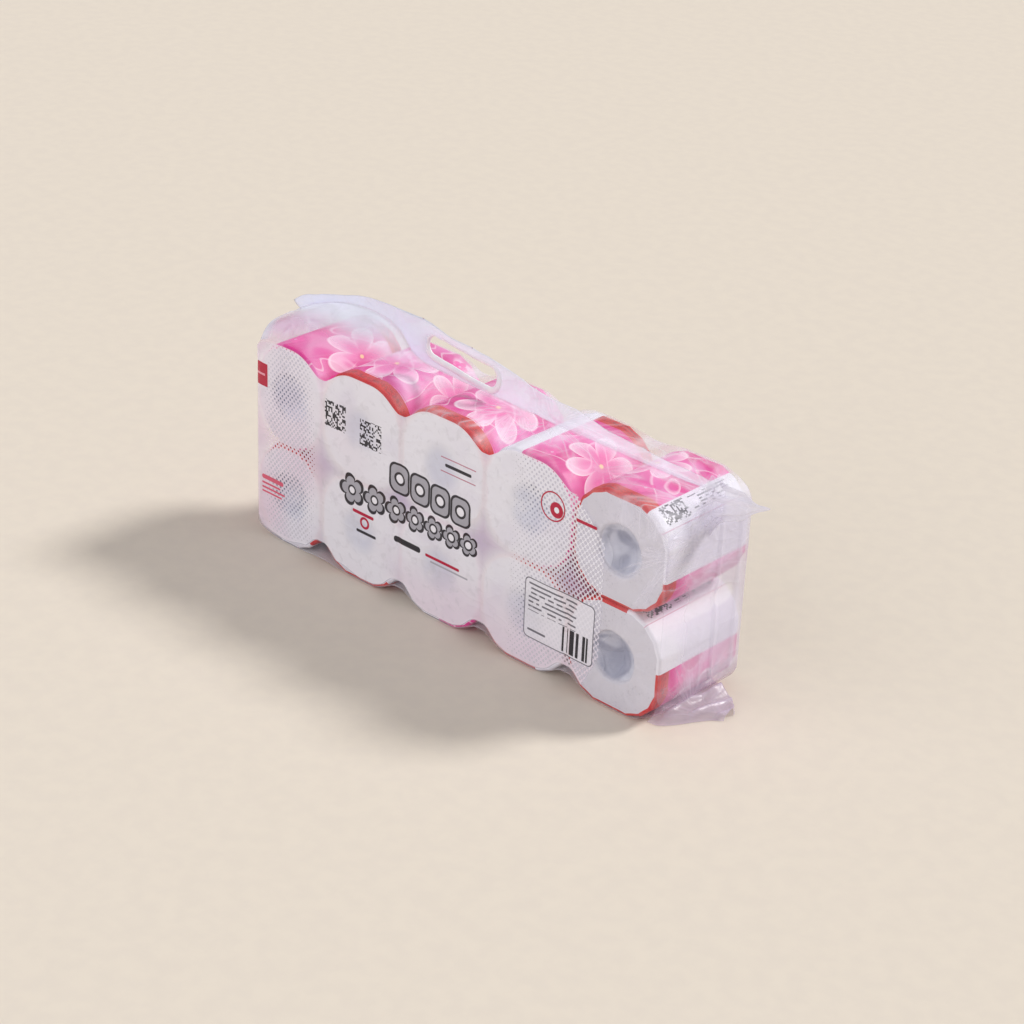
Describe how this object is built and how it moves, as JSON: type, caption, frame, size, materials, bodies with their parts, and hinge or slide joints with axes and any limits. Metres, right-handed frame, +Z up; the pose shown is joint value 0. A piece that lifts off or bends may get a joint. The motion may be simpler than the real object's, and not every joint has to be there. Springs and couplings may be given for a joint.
{
  "type": "toilet roll carry pack",
  "caption": "Carry pack of wrapped toilet rolls lying in two rows inside one clear printed film bag with a gathered fin and a handle slot.",
  "frame": {"origin": "on the floor, under the middle of the middle column of rolls, at half the pack's depth", "axes": "+Z up, +X along the pack towards its flattened right end, -Y towards the printed front, so that the rolls' cores lie along Y"},
  "size_m": [0.5324, 0.1018, 0.2412],
  "materials": {
    "tissue_paper": "matt",
    "core_board": "matt",
    "wrapper_film": "soft gloss, printed pink and white",
    "bag_film": "clear film, lilac tint, white print on the front"
  },
  "bodies": {
    "root": {"lower_roll_1_paper": "tissue_paper", "lower_roll_1_core": "core_board", "lower_roll_1_wrapper": "wrapper_film", "lower_roll_2_paper": "tissue_paper", "lower_roll_2_core": "core_board", "lower_roll_2_wrapper": "wrapper_film", "lower_roll_3_paper": "tissue_paper", "lower_roll_3_core": "core_board", "lower_roll_3_wrapper": "wrapper_film", "lower_roll_4_paper": "tissue_paper", "lower_roll_4_core": "core_board", "lower_roll_4_wrapper": "wrapper_film", "lower_roll_5_paper": "tissue_paper", "lower_roll_5_core": "core_board", "lower_roll_5_wrapper": "wrapper_film", "upper_roll_1_paper": "tissue_paper", "upper_roll_1_core": "core_board", "upper_roll_1_wrapper": "wrapper_film", "upper_roll_2_paper": "tissue_paper", "upper_roll_2_core": "core_board", "upper_roll_2_wrapper": "wrapper_film", "upper_roll_3_paper": "tissue_paper", "upper_roll_3_core": "core_board", "upper_roll_3_wrapper": "wrapper_film", "upper_roll_4_paper": "tissue_paper", "upper_roll_4_core": "core_board", "upper_roll_4_wrapper": "wrapper_film", "upper_roll_5_paper": "tissue_paper", "upper_roll_5_core": "core_board", "upper_roll_5_wrapper": "wrapper_film", "carry_bag": "bag_film"}
  },
  "joints": []
}
